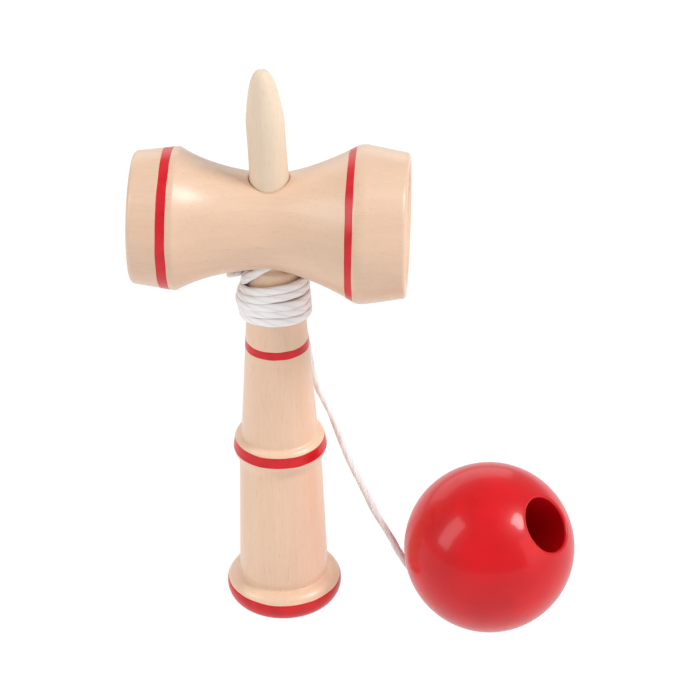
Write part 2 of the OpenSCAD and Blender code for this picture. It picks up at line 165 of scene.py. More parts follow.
class ToyStage(bpy.types.PropertyGroup):
    """Camera and light."""
    place: FloatVectorProperty(name="Camera", description="Where the camera stands", subtype="XYZ",
                               unit="LENGTH", size=3, default=(0.08257, -0.57870, 0.43347))
    turn: FloatProperty(name="Turn", description="Camera's turn about the upright", subtype="ANGLE",
                        default=math.radians(6.484))
    drop: FloatProperty(name="Drop", description="Angle by which the camera looks down", subtype="ANGLE",
                        default=math.radians(32.015))
    roll: FloatProperty(name="Roll", description="Camera's roll about its line of sight", subtype="ANGLE",
                        default=math.radians(-0.954))
    lens: FloatProperty(name="Lens", description="Focal length on a 36 mm sensor", subtype="DISTANCE_CAMERA",
                        default=36 * 3000 / 700, min=20, max=400)
    surround: FloatProperty(name="Surround", description="Strength of the even light from all round",
                            default=0.5, min=0, max=2)
    right_lamp: FloatProperty(name="Right lamp", description="Power of the soft lamp above right",
                              subtype="POWER", default=11.4, min=0, max=100)
    left_lamp: FloatProperty(name="Left lamp", description="Power of the tall soft lamp at the left",
                             subtype="POWER", default=2.2, min=0, max=100)
    back_lamp: FloatProperty(name="Back lamp", description="Power of the soft lamp behind",
                             subtype="POWER", default=2.0, min=0, max=100)
    fill_lamp: FloatProperty(name="Fill lamp", description="Power of the weak lamp low at the right",
                             subtype="POWER", default=1.3, min=0, max=100)


class ToySettings(bpy.types.PropertyGroup):
    """All settings of the toy."""
    shape: PointerProperty(type=ToyShape)
    colours: PointerProperty(type=ToyColours)
    stage: PointerProperty(type=ToyStage)


def settings():
    """The scene's own settings of the toy."""
    return bpy.context.scene.cup_and_ball


def bezier(a, b, c, d, n=24):
    """Points of a cubic Bezier curve: the four corners weighted by s^3, 3 s^2 t, 3 s t^2 and t^3, where
    s = 1 - t."""
    t = np.linspace(0, 1, n)[:, None]
    a, b, c, d = (np.asarray(p, float) for p in (a, b, c, d))
    return (1 - t) ** 3 * a + 3 * (1 - t) ** 2 * t * b + 3 * (1 - t) * t ** 2 * c + t ** 3 * d


def lengths(points):
    """Running length along a polyline."""
    return np.r_[0, np.cumsum(np.linalg.norm(np.diff(points, axis=0), axis=1))]


def even(points, step):
    """The same polyline at even steps of length."""
    at = lengths(points)
    s = np.linspace(0, at[-1], max(2, int(round(at[-1] / step)) + 1))
    return np.stack([np.interp(s, at, points[:, k]) for k in range(points.shape[1])], 1)


def eased(points, step, ease, loop=False):
    """A polyline with eased corners: taken at fine even steps, then each point becomes the mean of its
    neighbours weighted by exp(-(distance/ease)^2 / 2). Ends stay put; a loop runs on over its own start."""
    fine = even(points, ease / 4)
    reach = np.arange(-16, 17)
    weight = np.exp(-(reach / 4) ** 2 / 2)
    weight /= weight.sum()
    if loop:
        padded = np.r_[fine[-17:-1], fine, fine[1:17]]
    else:
        padded = np.r_[2 * fine[0] - fine[16:0:-1], fine, 2 * fine[-1] - fine[-2:-18:-1]]
    soft = np.stack([np.convolve(padded[:, k], weight, "valid") for k in range(fine.shape[1])], 1)
    return even(soft, step)


def cup(radius, depth, n=40):
    """Section of a shallow round cup from its middle to its mouth, as [radius, depth below the mouth]:
    an arc of radius (r^2 + d^2) / 2d."""
    ball = (radius ** 2 + depth ** 2) / (2 * depth)
    a = np.linspace(0.004, math.asin(radius / ball), n)
    return np.stack([ball * np.sin(a), depth - ball + ball * np.cos(a)], 1)


def finish_piece(name, points, faces, uv, body, nodes, material, slot):
    """Puts points in millimetres and faces into a smooth mesh in metres, and hands it to its body."""
    mesh = bpy.data.meshes.new(name)
    mesh.from_pydata((np.asarray(points) * MM).tolist(), [], faces)
    mesh.polygons.foreach_set("use_smooth", np.ones(len(mesh.polygons), bool))
    if uv is not None:
        mesh.uv_layers.new(name="UVMap").data.foreach_set("uv", np.asarray(uv, np.float32).ravel())
    mesh.materials.append(material)
    mesh.validate()
    mesh.update()
    piece = bpy.data.objects.new(name, mesh)
    bpy.context.scene.collection.objects.link(piece)
    if body:
        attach(piece, body)
    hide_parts(*nodes)
    return piece


def skin(p, loop=False):
    """Faces and texture places over a grid p[row, column]. Columns close on themselves. Rows close too if
    loop, otherwise each end is closed by a fan round its middle. Faces are turned so that the enclosed
    volume, the sum of a . (b x c) / 6 over the triangles, is positive. The texture runs 0 to 1 round and in
    millimetres along."""
    n, m = p.shape[:2]
    points = p.reshape(-1, 3)
    i, j = np.meshgrid(np.arange(n if loop else n - 1), np.arange(m), indexing="ij")
    right, below = (j + 1) % m, (i + 1) % n
    quads = np.stack([i * m + j, i * m + right, below * m + right, below * m + j], -1).reshape(-1, 4)
    along = lengths(np.r_[p[:, 0], p[:1, 0]] if loop else p[:, 0])
    u = np.stack([j, j + 1, j + 1, j], -1) / m
    v = along[np.stack([i, i, i + 1, i + 1], -1)]
    uv = [np.stack([u, v], -1).reshape(-1, 2)]
    fans = np.zeros((0, 3), int)
    if not loop:
        k = np.arange(m)
        points = np.r_[points, [p[0].mean(0)], [p[-1].mean(0)]]
        first = np.stack([np.full(m, n * m), (k + 1) % m, k], 1)
        last = np.stack([np.full(m, n * m + 1), (n - 1) * m + k, (n - 1) * m + (k + 1) % m], 1)
        fans = np.r_[first, last]
        fan_uv = np.stack([np.tile(k / m, 2), np.repeat([along[0], along[-1]], m)], 1)
        uv.append(np.repeat(fan_uv, 3, axis=0))
    tri = np.r_[quads[:, [0, 1, 2]], quads[:, [0, 2, 3]], fans]
    a, b, c = (points[tri[:, k]] for k in range(3))
    if np.einsum("ij,ij->", a, np.cross(b, c)) < 0:
        quads, fans = quads[:, ::-1], fans[:, ::-1]
        uv = [x.reshape(-1, size, 2)[:, ::-1].reshape(-1, 2) for x, size in zip(uv, (4, 3))]
    return points, quads.tolist() + fans.tolist(), np.concatenate(uv)


def turned(profile, steps):
    """Surface of revolution: [radius, height] carried round the upright."""
    a = np.arange(steps) * TAU / steps
    r, z = profile[:, 0, None], profile[:, 1, None]
    return np.stack([r * np.cos(a), r * np.sin(a), z + 0 * a], -1)


def bell_at(z):
    """Radius of the rounded foot at a height."""
    return BELL_R - BELL_ROUND + np.sqrt(BELL_ROUND ** 2 - (z - BELL_Z) ** 2)


def neck_at(z):
    """Radius of the tapering neck at a height: it narrows as a power of the distance below its top."""
    share = (NECK_TOP[1] - z) / (NECK_TOP[1] - NECK_LOW[1])
    return NECK_TOP[0] + (NECK_LOW[0] - NECK_TOP[0]) * np.maximum(share, 0) ** NECK_POWER


def handle_outline():
    """Outside of the handle as [radius, height], from the foot's edge to the rebate at the neck's top."""
    z = np.linspace(0, BELL_END, 40)
    zn = np.linspace(NECK_FOOT, NECK_END, 60)
    bell = np.stack([bell_at(z), z], 1)
    return np.concatenate([
        bell,
        bezier(bell[-1], *FOOT_COVE),
        [*FOOT_CREASE, GRIP_LOW],
        bezier(GRIP_TOP, (GRIP_TOP[0] + 0.05, GRIP_TOP[1] + 1.8), (COLLAR[0] - 0.1, COLLAR[1] - 1.6), COLLAR),
        bezier(COLLAR_TOP, *COLLAR_COVE),
        COLLAR_CREASE,
        np.stack([neck_at(zn), zn], 1),
        [REBATE, (REBATE[0], NECK_TOP[1])]])


def crosspiece_outline():
    """Outside of the crosspiece as [radius, place along it], from the left rim to the right rim."""
    (lr, lx), (ls, lsx), (rr, rx), (rs, rsx) = LEFT_RIM, LEFT_SHOULDER, RIGHT_RIM, RIGHT_SHOULDER
    e = RIM_ROUND
    turn = np.array([rs - 0.2, rsx - 1.1])
    return np.concatenate([
        bezier((lr - e, lx), (lr - 0.4 * e, lx), (lr, lx + 0.6 * e), (lr, lx + e), 8),
        [(ls - 0.1, lsx - 0.7)],
        bezier((ls, lsx), (ls - 5.1, lsx + 8.3), (WAIST[0], WAIST[1] - 0.8), WAIST, 40),
        bezier(WAIST, (WAIST[0], WAIST[1] + 5.5), turn - (3.4, 6), turn, 40)[1:],
        bezier(turn, (rs, rsx - 0.7), (rs, rsx), (rs - 0.05, rsx + 1), 8)[1:],
        bezier((rr, rx - e), (rr, rx - 0.4 * e), (rr - 0.4 * e, rx), (rr - e, rx), 8)])


def swung(p):
    """Tilts points made along X, right end down, and turns them about the upright, as the crosspiece sits."""
    hang = Matrix.Rotation(CROSS_TURN, 3, "Z") @ Matrix.Rotation(CROSS_TILT, 3, "Y")
    return (p - (0, 0, AXIS_Z)) @ np.array(hang).T + (0, 0, AXIS_Z)


def across(p):
    """Turns points of a piece made upright so that its axis lies along the crosspiece."""
    return swung(np.stack([p[..., 2], p[..., 1], AXIS_Z - p[..., 0]], -1))


def leaning(p):
    """Leans points made upright round the handle's axis as the spike leans, about its crossing point."""
    x, y, z = np.moveaxis(p, -1, 0)
    return np.stack([x * math.cos(LEAN) - z * math.sin(LEAN), y,
                     LEAN_Z + x * math.sin(LEAN) + z * math.cos(LEAN)], -1)


def bored(p):
    """Moves points made with the bore upright to the ball's place, tilt and turn."""
    tilt = Matrix.Rotation(BORE_TURN, 3, "Z") @ Matrix.Rotation(math.pi / 2 - BORE_TILT, 3, "Y")
    return p @ np.array(tilt).T + BALL_C


def wander(a, seed, amount):
    """Slow stray of a hand-painted edge round the piece: five waves of 2, 3, 5, 9 and 14 to the round."""
    waves = np.array([2, 3, 5, 9, 14])
    phase = np.random.default_rng(seed).uniform(0, TAU, 5)
    return amount * np.sin(np.multiply.outer(a, waves) + phase) @ np.array([0.5, 0.45, 0.35, 0.25, 0.2])


def stripe(outline, low, high, steps, seed):
    """Film of paint round a turned outline between two places: its edges stray, its face stands the paint's
    build above the wood, swells at both edges where the brush left it, and its underside lies in the wood."""
    s = settings().shape
    a = np.arange(steps) * TAU / steps
    across_film = np.array([0, 0.004, 0.03, 0.09, 0.2, 0.35, 0.5, 0.65, 0.8, 0.91, 0.97, 0.996, 1])[:, None]
    build = np.array([-0.3, 0.2, 0.9, 1.15, 1.0, 0.95, 0.95, 0.95, 1.0, 1.15, 0.9, 0.2, -0.3])[:, None]
    build = build * s.paint / MM
    low = low + wander(a, seed, s.edge_wander / MM)
    high = high + wander(a, seed + 1, s.edge_wander / MM)
    place = low + (high - low) * across_film
    order = np.argsort(outline[:, 1], kind="stable")
    radius = np.interp(place, outline[order, 1], outline[order, 0])
    face = np.stack([(radius + build) * np.cos(a), (radius + build) * np.sin(a), place], -1)
    below = radius - STRIPE_UNDER
    under = np.stack([below * np.cos(a), below * np.sin(a), place], -1)[[-1, 6, 0]]
    return np.concatenate([face, under])


def wire(node, **links):
    """Links or sets the inputs that are named, with _ for a space; i0, i1 and i2 name one by its place."""
    for key, value in links.items():
        by_place = key[0] == "i" and key[1:].isdigit()
        socket = node.inputs[int(key[1:]) if by_place else key.replace("_", " ")]
        if isinstance(value, bpy.types.NodeSocket):
            node.id_data.links.new(value, socket)
        else:
            socket.default_value = value
    return node


def add(tree, kind, setup=None, **links):
    """Adds a node with its own settings, and links or sets the inputs that are named."""
    node = tree.nodes.new(kind)
    for key, value in (setup or {}).items():
        setattr(node, key, value)
    return wire(node, **links)


def new_material(name):
    """An empty node material and its principled shader."""
    material = bpy.data.materials.new(name)
    material.use_nodes = True
    tree = material.node_tree
    tree.nodes.clear()
    shader = add(tree, "ShaderNodeBsdfPrincipled")
    add(tree, "ShaderNodeOutputMaterial", Surface=shader.outputs[0])
    return material, tree, shader


def own_place(tree):
    """The place on the piece, in metres."""
    return add(tree, "ShaderNodeTexCoord").outputs["Object"]


def scaled(tree, place, scale):
    """A place multiplied by a scale along each axis."""
    return add(tree, "ShaderNodeMapping", Vector=place, Scale=scale).outputs[0]


def noise(tree, place, detail, roughness=0.5):
    """Noise with one swell to each unit of its place."""
    return add(tree, "ShaderNodeTexNoise", Vector=place, Scale=1.0, Detail=detail,
               Roughness=roughness).outputs["Fac"]


def spread(tree, value, **ends):
    """A value carried from one range to another."""
    return add(tree, "ShaderNodeMapRange", Value=value, **ends).outputs[0]


def math_node(tree, operation, *values):
    """The result of a sum on up to three values."""
    return add(tree, "ShaderNodeMath", {"operation": operation},
               **{f"i{k}": value for k, value in enumerate(values)}).outputs[0]


def blended(tree, factor, under, over):
    """One colour laid over another by a factor."""
    return add(tree, "ShaderNodeMix", {"data_type": "RGBA"}, Factor=factor, A=under, B=over).outputs["Result"]


def bumped(tree, height, strength, depth):
    """A surface raised by a height, with its depth in millimetres."""
    return add(tree, "ShaderNodeBump", Height=height, Strength=strength, Distance=depth * MM).outputs[0]


def ramp(tree, value, low, high, dark, light):
    """A colour ramp between two places, from one colour to another."""
    node = add(tree, "ShaderNodeValToRGB", Fac=value)
    node.color_ramp.elements[0].position, node.color_ramp.elements[1].position = low, high
    node.color_ramp.elements[0].color, node.color_ramp.elements[1].color = (*dark, 1), (*light, 1)
    return node.outputs["Color"]


def shade(colour, factor):
    """The same colour made lighter or darker."""
    return tuple(min(1.0, c * factor) for c in colour)


def beech(name, body, ray, along, gloss, pith, coat=0.0):
    """Turned beech, sanded, with a satin lacquer coat of a given weight. Straight fine grain, growth rings
    2.6 mm apart seen as faint broad bands, short ray flecks 0.4 mm wide and about 3 mm long, and a soft even
    gloss."""
    material, tree, shader = new_material(name)
    turn = {"Z": (0, 0, 0), "X": (0, math.pi / 2, 0)}[along]
    grain = add(tree, "ShaderNodeMapping", Vector=own_place(tree), Rotation=turn, Scale=(1000, 1000, 1000),
                Location=pith).outputs[0]
    stretch = lambda wide, long: scaled(tree, grain, (1 / wide, 1 / wide, 1 / long))
    # Growth rings round a pith outside the blank; the wave's own period is 0.314 of its scale
    rings = add(tree, "ShaderNodeTexWave",
                {"wave_type": "RINGS", "rings_direction": "Z", "wave_profile": "SAW"},
                Vector=stretch(1.0, 9.0), Scale=0.314 / 2.6, Distortion=2.2, Detail=2.0, Detail_Scale=0.5)
    fibre = noise(tree, stretch(0.35, 7.0), 3.0, 0.6)
    fleck = noise(tree, stretch(0.38, 3.0), 1.0, 0.4)
    tone = noise(tree, stretch(9.0, 40.0), 2.0)
    colour = ramp(tree, tone, 0.3, 0.7, shade(body, 0.95), shade(body, 1.04))
    for amount in (math_node(tree, "MULTIPLY", rings.outputs["Fac"], 0.1),
                   spread(tree, fibre, From_Min=0.42, From_Max=0.72, To_Max=0.18),
                   spread(tree, fleck, From_Min=0.62, From_Max=0.74, To_Max=0.34)):
        colour = blended(tree, amount, colour, (*ray, 1))
    wire(shader, Base_Color=colour, Normal=bumped(tree, math_node(tree, "ADD", fibre, fleck), 0.25, 0.03),
         Roughness=spread(tree, fibre, To_Min=gloss, To_Max=gloss + 0.12),
         Coat_Weight=coat, Coat_Roughness=0.24)
    return material


def brushed_red(name, colour):
    """Red gloss paint brushed on in one coat over the lacquer, with faint thin and thick patches."""
    material, tree, shader = new_material(name)
    streak = noise(tree, scaled(tree, own_place(tree), (400, 400, 400)), 3.0)
    wire(shader, Base_Color=ramp(tree, streak, 0.3, 0.7, shade(colour, 0.86), shade(colour, 1.1)),
         Normal=bumped(tree, streak, 0.2, 0.05), Roughness=spread(tree, streak, To_Min=0.25, To_Max=0.4),
         Specular_IOR_Level=0.3, Coat_Weight=0.15, Coat_Roughness=0.2)
    return material


def dipped_red(name, colour):
    """Turned wooden ball dipped in red lacquer: a gloss skin with a fine orange peel about 0.9 mm across,
    slow sags about 9 mm across, and painted shade: a darker red inside the bore."""
    material, tree, shader = new_material(name)
    place = own_place(tree)
    peel = noise(tree, scaled(tree, place, (1000 / 0.9,) * 3), 2.0)
    sag = noise(tree, scaled(tree, place, (1000 / 9.0,) * 3), 1.0)
    outside = ramp(tree, sag, 0.3, 0.7, shade(colour, 0.9), shade(colour, 1.08))
    # Painted shade: where a point is marked inside, in the bore and pocket, the red is darkened
    inside = add(tree, "ShaderNodeAttribute", {"attribute_name": "inside"}).outputs["Fac"]
    height = math_node(tree, "MULTIPLY_ADD", sag, 3.0, peel)
    wire(shader, Base_Color=blended(tree, inside, outside, (*shade(colour, 0.88), 1)),
         Normal=bumped(tree, height, 0.35, 0.05), Roughness=spread(tree, peel, To_Min=0.3, To_Max=0.42),
         Specular_IOR_Level=0.2, Coat_Weight=0.34, Coat_Roughness=0.12)
    return material


def laid_cotton(name, colour):
    """Soft laid cotton string: matt white yarns with fine fibres along them, with painted shade down in the
    lay.
    """
    material, tree, shader = new_material(name)
    place = add(tree, "ShaderNodeUVMap", {"uv_map": "UVMap"}).outputs[0]
    # Fibres 0.12 mm wide drawn at 0.25 mm, so that they show
    fibre = noise(tree, scaled(tree, place, (17, 0.5, 1)), 3.0)
    # Painted shade: the yarns turn grey towards the lay's grooves, by the share stored on each point
    painted_lay_shade = add(tree, "ShaderNodeAttribute", {"attribute_name": "painted_lay_shade"}).outputs["Fac"]
    body = ramp(tree, fibre, 0.3, 0.7, shade(colour, 0.93), shade(colour, 1.0))
    wire(shader, Base_Color=blended(tree, painted_lay_shade, body, (*shade(colour, 0.84), 1)),
         Normal=bumped(tree, fibre, 0.5, 0.1), Roughness=0.9, Specular_IOR_Level=0.2,
         Subsurface_Weight=0.3, Subsurface_Scale=0.6 * MM, Subsurface_Radius=(1, 1, 1),
         Sheen_Weight=0.25, Sheen_Roughness=0.5)
    return material


def lacquered(name, along, pith, tone=1.0):
    """Beech with the toy's colours and a satin lacquer coat; tone makes a lighter or darker copy of it,
    which is painted shade where a piece is made darker."""
    c = settings().colours
    return beech(name, shade(c.beech, tone), shade(c.beech_ray, tone), along, 0.36, pith, coat=0.3)


class CUPBALL_OT_handle(bpy.types.Operator):
    """Turn the handle: cupped foot, grip, collar and tapering neck, with the spike's socket in its seat"""
    bl_idname = "cupball.handle"
    bl_label = "Handle"

    def execute(self, context):
        s = settings().shape
        foot = cup(FOOT_CUP_R, FOOT_CUP_DEPTH)
        bore = SPIKE_R + SPIKE_CLEAR
        socket = [(bore, NECK_TOP[1]), (bore, SOCKET_Z), (POLE_R, SOCKET_Z)]
        profile = eased(np.concatenate([foot, handle_outline(), socket]), s.row_step / MM, EDGE_EASE)
        p = turned(profile, s.round_steps)
        inside = np.arange(len(profile)) > np.argmax(profile[:, 1] > NECK_TOP[1] - 0.05)
        p[..., 0] += np.where(inside, (LEAN_Z - profile[:, 1]) * math.tan(LEAN), 0)[:, None]
        material = lacquered("turned_beech_satin_lacquer", "Z", (21, 13, 0))
        finish_piece("turned_handle", *skin(p), "ken", ["handle"], material, "beech")
        return {"FINISHED"}


class CUPBALL_OT_spike(bpy.types.Operator):
    """Shape the paler spike: a dowel whittled to a rounded point, leaning a little to the left"""
    bl_idname = "cupball.spike"
    bl_label = "Spike"

    def execute(self, context):
        s = settings().shape
        top = (SPIKE_TOP - LEAN_Z) / math.cos(LEAN)
        bottom = -(LEAN_Z - SOCKET_Z) / math.cos(LEAN)
        h = SPIKE_POINT * np.linspace(1, 0.004, 60) ** 2
        point = np.stack([SPIKE_THIN_R * (h / SPIKE_POINT) ** SPIKE_POWER, top - h], 1)
        stem = np.array([(POLE_R, bottom), (SPIKE_R, bottom), (SPIKE_R, SPIKE_THINS[0]),
                         (SPIKE_THIN_R, SPIKE_THINS[1])])
        profile = eased(np.concatenate([stem, point]), s.row_step / MM, EDGE_EASE)
        p = turned(profile, s.round_steps)
        # Knife flats: the radius falls by a share of |cos| round the dowel, more towards the point
        a = np.arange(s.round_steps) * TAU / s.round_steps
        rise = np.clip((profile[:, 1] - SPIKE_THINS[0]) / (top - SPIKE_THINS[0]), 0, 1)[:, None]
        flat = np.abs(np.cos(2.5 * a + 0.7 + 1.2 * rise)) ** 3 * rise * s.whittle / MM
        p[..., :2] *= (1 - flat / np.maximum(profile[:, :1], 0.5))[..., None]
        wood = settings().colours.spike_wood
        material = beech("bare_beech_dowel", tuple(wood), shade(wood, 0.8), "Z", 0.55, (9, 4, 0))
        finish_piece("whittled_spike", *skin(leaning(p)), "ken", ["spike"], material, "pale_beech")
        return {"FINISHED"}


def turned_across(profile, angle):
    """Surface of revolution about the crosspiece's axis: [radius, place along] carried round by an angle that
    starts at the back and reaches the top at a quarter turn."""
    r, x = profile[:, 0, None], profile[:, 1, None]
    return np.stack([x + 0 * angle, r * np.cos(angle), AXIS_Z + r * np.sin(angle)], -1)


def opening(radius, sign, hole_r, way, lean, lean_z):
    """Edge where a leaning round hole, whose axis crosses the middle plane at lean_z, leaves the crosspiece
    above or below: for each direction round the hole, place and height settle together, with
    height = axis + sign * sqrt(R(x)^2 - y^2)."""
    y = hole_r * np.sin(way)
    z = np.full_like(way, AXIS_Z + sign * WAIST[0])
    for _ in range(12):
        x = hole_r * np.cos(way) / math.cos(lean) - (z - lean_z) * math.tan(lean)
        z = AXIS_Z + sign * np.sqrt(radius(x) ** 2 - y ** 2)
    return np.stack([x, y, z], 1)


def crosspiece_surface(steps, row_step):
    """Points and faces of the crosspiece: the turned grid with a block left out round each opening, a patch
    that runs from each block's edge to its opening, and the recess wall, ceiling and bore wall inside."""
    left, right = cup(*LEFT_CUP), cup(*RIGHT_CUP)
    left[:, 1] += LEFT_RIM[1]
    right[:, 1] = RIGHT_RIM[1] - right[:, 1]
    profile = eased(np.concatenate([left, crosspiece_outline(), right[::-1]]), row_step, EDGE_EASE)
    first = np.argmin(profile[:, 1])
    side = profile[first:np.argmax(profile[:, 1]) + 1]
    radius = lambda x: np.interp(x, side[:, 1], side[:, 0])
    angle = np.arange(steps) * TAU / steps
    middles = profile[[0, -1]][:, [1, 0, 0]] * (1, 0, 0) + (0, 0, AXIS_Z)
    points = [turned_across(profile, angle).reshape(-1, 3), middles]
    rows, count = len(profile), len(profile) * steps + 2
    keep = np.ones((rows - 1, steps), bool)
    tall, wide = int(round(PATCH_REACH / row_step)), steps // 6
    # Bore and recess lean by the tilt as well while the crosspiece is still level
    slant, chimneys = LEAN + CROSS_TILT, []
    bore_z = AXIS_Z + (LEAN_Z - AXIS_Z) * math.sin(LEAN) / math.sin(slant)
    for sign, hole_r, lean, lean_z in ((1, SPIKE_R + SPIKE_CLEAR, slant, bore_z),
                                       (-1, RECESS_R, CROSS_TILT, AXIS_Z)):
        at = -(AXIS_Z + sign * WAIST[0] - lean_z) * math.tan(lean)
        row = first + np.argmin(abs(side[:, 1] - at))
        column = steps // 4 if sign > 0 else 3 * steps // 4
        i, j = np.arange(row - tall, row + tall), np.arange(column - wide, column + wide)
        i0, i1, j0, j1 = row - tall, row + tall, column - wide, column + wide
        keep[i0:i1, j0:j1] = False
        edge = np.concatenate([np.stack([0 * j + i0, j], 1), np.stack([i, 0 * i + j1], 1),
                               np.stack([0 * j + i1, j[::-1] + 1], 1),
                               np.stack([i[::-1] + 1, 0 * i + j0], 1)])
        edge_x, edge_a = profile[edge[:, 0], 1], angle[edge[:, 1]]
        way = np.arctan2(-sign * (edge_a - angle[column]) * WAIST[0], edge_x - at)
        lip = opening(radius, sign, hole_r + LIP_ROUND, way, lean, lean_z)
        lip_a = np.arctan2(lip[:, 2] - AXIS_Z, lip[:, 1]) % TAU
        t = np.linspace(0, 1, PATCH_ROWS + 1)[1:, None]
        px, pa = edge_x + (lip[:, 0] - edge_x) * t, edge_a + (lip_a - edge_a) * t
        patch = np.stack([px, radius(px) * np.cos(pa), AXIS_Z + radius(px) * np.sin(pa)], -1)
        throat = opening(radius, sign, hole_r, way, lean, lean_z) - (0, 0, sign * LIP_DROP)
        shift = (lean_z - NECK_TOP[1]) * math.tan(lean)
        inner = np.stack([hole_r * np.cos(way) + shift, hole_r * np.sin(way), 0 * way + NECK_TOP[1]], 1)
        # Below the patch come one ring at the throat and one at the inner end
        rings = count + np.arange((PATCH_ROWS + 2) * len(way)).reshape(PATCH_ROWS + 2, -1)
        chimneys.append(([edge[:, 0] * steps + edge[:, 1], *rings], way))
        points += [patch.reshape(-1, 3), throat, inner]
        count += rings.size
    (up, up_way), (down, down_way) = chimneys
    # The ceiling joins the recess to the bore; the recess's ring runs the other way, so it is turned to match
    ring = down[-1][::-1]
    ring = np.roll(ring, -np.argmin(abs((down_way[::-1] - up_way[0] + math.pi) % TAU - math.pi)))
    bands = list(zip(up, up[1:])) + list(zip(down, down[1:])) + [(up[-1], ring)]
    i, j = np.nonzero(keep)
    k = np.arange(steps)
    quads = [np.stack([i * steps + j, i * steps + (j + 1) % steps, (i + 1) * steps + (j + 1) % steps,
                       (i + 1) * steps + j], 1)]
    quads += [np.stack([a, np.roll(a, -1), np.roll(b, -1), b], 1) for a, b in bands]
    last = (rows - 1) * steps
    ends = np.r_[np.stack([k, (k + 1) % steps, 0 * k + rows * steps], 1),
                 np.stack([last + k, last + (k + 1) % steps, 0 * k + rows * steps + 1], 1)]
    return np.concatenate(points), np.concatenate(quads).tolist() + ends.tolist()


class CUPBALL_OT_crosspiece(bpy.types.Operator):
    """Turn the crosspiece: two flared cups, bored across for the spike, with a recess below for the neck"""
    bl_idname = "cupball.crosspiece"
    bl_label = "Crosspiece"

    def execute(self, context):
        s = settings().shape
        points, faces = crosspiece_surface(s.round_steps, s.row_step / MM)
        # Painted shade: the crosspiece's beech is made 8% darker than the handle's
        material = lacquered("turned_beech_satin_lacquer_cross", "X", (17, 24, 0), 0.92)
        piece = finish_piece("turned_crosspiece", swung(points), faces, None, "cross", ["crosspiece"],
                             material, "beech")
        shell = bmesh.new()
        shell.from_mesh(piece.data)
        bmesh.ops.recalc_face_normals(shell, faces=shell.faces)
        shell.to_mesh(piece.data)
        shell.free()
        return {"FINISHED"}


class CUPBALL_OT_stripes(bpy.types.Operator):
    """Paint the five red stripes: foot, collar, neck and the two on the crosspiece"""
    bl_idname = "cupball.stripes"
    bl_label = "Stripes"

    def execute(self, context):
        s = settings().shape
        material = brushed_red("brushed_red_paint", tuple(settings().colours.stripe))
        stem, beam = handle_outline(), crosspiece_outline()
        for name, node, body, low, high, seed in STRIPES:
            p = stripe(beam if body == "cross" else stem, low, high, s.round_steps, seed)
            p = across(p) if body == "cross" else p
            finish_piece(name, *skin(p, loop=True), body, [node], material, "red_lacquer")
        return {"FINISHED"}


class CUPBALL_OT_ball(bpy.types.Operator):
    """Turn the red ball: bored for the spike, with a pocket for the knot and a string hole behind"""
    bl_idname = "cupball.ball"
    bl_label = "Ball"

    def execute(self, context):
        s = settings().shape
        mouth_r = BORE_R + MOUTH_CHAMFER
        low, high = math.asin((STRING_HOLE_R + 0.3) / BALL_R), math.asin(mouth_r / BALL_R)
        a = np.linspace(math.pi - low, high, 200)
        back = -math.sqrt(BALL_R ** 2 - STRING_HOLE_R ** 2) + 0.5
        profile = np.concatenate([
            [(STRING_HOLE_R, back)],
            np.stack([BALL_R * np.sin(a), BALL_R * np.cos(a)], 1),
            [(BORE_R, BALL_R * math.cos(high) - 0.4), (BORE_R, -BORE_FLOOR), (POCKET_R, -BORE_FLOOR),
             (POCKET_R, -POCKET_FLOOR), (STRING_HOLE_R, -POCKET_FLOOR), (STRING_HOLE_R, back)]])
        rows = eased(profile, s.row_step / MM, BALL_EASE, loop=True)[:-1]
        p = turned(rows, s.round_steps)
        material = dipped_red("dipped_red_gloss_lacquer", tuple(settings().colours.ball))
        ball = finish_piece("dipped_ball", *skin(bored(p), loop=True), "tama", ["ball"], material, "red_ball")
        # Painted shade in the bore: points more than 0.3 mm below the skin are marked for a darker red
        depth = BALL_R - np.linalg.norm(rows, axis=1)
        mark(ball, "inside", np.repeat(ease((depth - 0.3) / 0.6), s.round_steps))
        return {"FINISHED"}


def spline(points, step):
    """Natural cubic spline through points against their chord length, taken at even steps: the second
    derivatives solve the usual three-term equations and vanish at both ends."""
    points = np.asarray(points, float)
    t = lengths(points)
    h = np.diff(t)
    system = np.diag(np.r_[1, 2 * (h[:-1] + h[1:]), 1])
    system += np.diag(np.r_[0, h[1:]], 1) + np.diag(np.r_[h[:-1], 0], -1)
    slope = np.diff(points, axis=0) / h[:, None]
    bend = np.linalg.solve(system, np.r_[np.zeros((1, 3)), 6 * np.diff(slope, axis=0), np.zeros((1, 3))])
    at = np.linspace(0, t[-1], 40 * len(t))
    k = np.clip(np.searchsorted(t, at) - 1, 0, len(h) - 1)
    a, b, w = (t[k + 1] - at)[:, None], (at - t[k])[:, None], h[k][:, None]
    line = (bend[k] * a ** 3 + bend[k + 1] * b ** 3) / (6 * w) + (points[k] / w - bend[k] * w / 6) * a \
        + (points[k + 1] / w - bend[k + 1] * w / 6) * b
    return even(line, step)


def ease(x):
    """Smooth step from 0 to 1: 3 t^2 - 2 t^3."""
    t = np.clip(x, 0, 1)
    return t * t * (3 - 2 * t)


